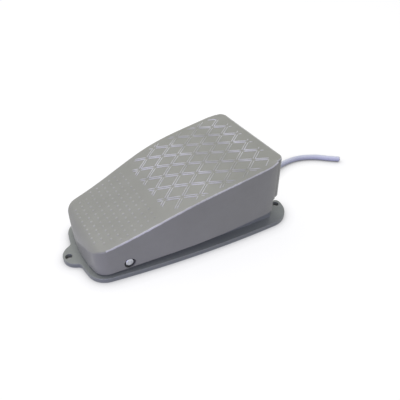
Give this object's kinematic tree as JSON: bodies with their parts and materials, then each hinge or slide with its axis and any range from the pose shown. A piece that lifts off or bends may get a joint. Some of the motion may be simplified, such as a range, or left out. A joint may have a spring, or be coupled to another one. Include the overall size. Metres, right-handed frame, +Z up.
{
  "type": "foot switch",
  "caption": "Heavy cast foot switch: sloping tread pedal hinged at its low end over an eared base tray, with a snap switch inside and a short cord",
  "frame": {"origin": "the middle of the base's footprint, on the floor it stands on", "axes": "+X is the width, +Y runs from the low hinged front to the high rear end where the cord leaves, +Z is up"},
  "size_m": [0.122, 0.3357, 0.0726],
  "materials": {
    "grey_hammered_paint": "semi-gloss hammered grey enamel on cast aluminium",
    "ground_steel": "ground, domed ends",
    "spring_steel": "oiled spring steel",
    "zinc_steel": "bright zinc plated",
    "brass": "plain stamped brass",
    "nylon": "natural nylon",
    "black_rubber": "moulded black rubber",
    "black_phenolic": "moulded phenolic",
    "red_plastic": "moulded plastic",
    "fibre_card": "pressed insulating card",
    "brown_pvc": "extruded core insulation",
    "blue_pvc": "extruded core insulation",
    "green_yellow_pvc": "extruded core insulation",
    "grey_pvc_sheath": "smooth extruded sheath"
  },
  "bodies": {
    "base": {"base_casting": "grey_hammered_paint", "blue_core": "blue_pvc", "bracket_screws": "zinc_steel", "brown_core": "brown_pvc", "clamp_screws": "zinc_steel", "closed_terminal": "brass", "common_terminal": "brass", "cord": "grey_pvc_sheath", "cord_clamp": "zinc_steel", "cord_grommet": "black_rubber", "cut_cores": "brown_pvc", "earth_core": "green_yellow_pvc", "earth_screw": "brass", "earth_tag": "brass", "hinge_pin": "ground_steel", "insulation_card": "fibre_card", "lever_pin": "ground_steel", "open_terminal": "brass", "retaining_clips": "spring_steel", "return_spring": "spring_steel", "stop_buffers": "black_rubber", "switch_bracket": "zinc_steel", "switch_case": "black_phenolic", "switch_cover": "black_phenolic", "switch_nuts": "zinc_steel", "switch_screws": "zinc_steel", "thrust_washers": "nylon"},
    "pedal": {"pedal_casting": "grey_hammered_paint", "adjusting_screw": "zinc_steel", "lock_nut": "zinc_steel"},
    "lever": {"switch_lever": "spring_steel"},
    "plunger": {"switch_plunger": "red_plastic"}
  },
  "joints": [
    {"name": "pedal_hinge", "type": "hinge", "parent": "base", "child": "pedal", "pos_m": [0, -0.06215, 0.0128], "axis": [1, 0, 0], "range_deg": [-3.2, 0], "stiffness_Nm_per_rad": 30, "springref_deg": 5.73, "deforming": ["return_spring"]},
    {"name": "lever_hinge", "type": "hinge", "parent": "base", "child": "lever", "pos_m": [0, -0.01015, 0.0421], "axis": [1, 0, 0], "range_deg": [-7.78, 0]},
    {"name": "plunger_slide", "type": "slide", "parent": "base", "child": "plunger", "axis": [0, 0, 1], "range_m": [-0.00168, 0]}
  ],
  "couplings": [
    {"joint": "lever_hinge", "follows": "pedal_hinge", "ratio": 2.43},
    {"joint": "plunger_slide", "follows": "pedal_hinge", "m_per_rad": 0.0298}
  ]
}
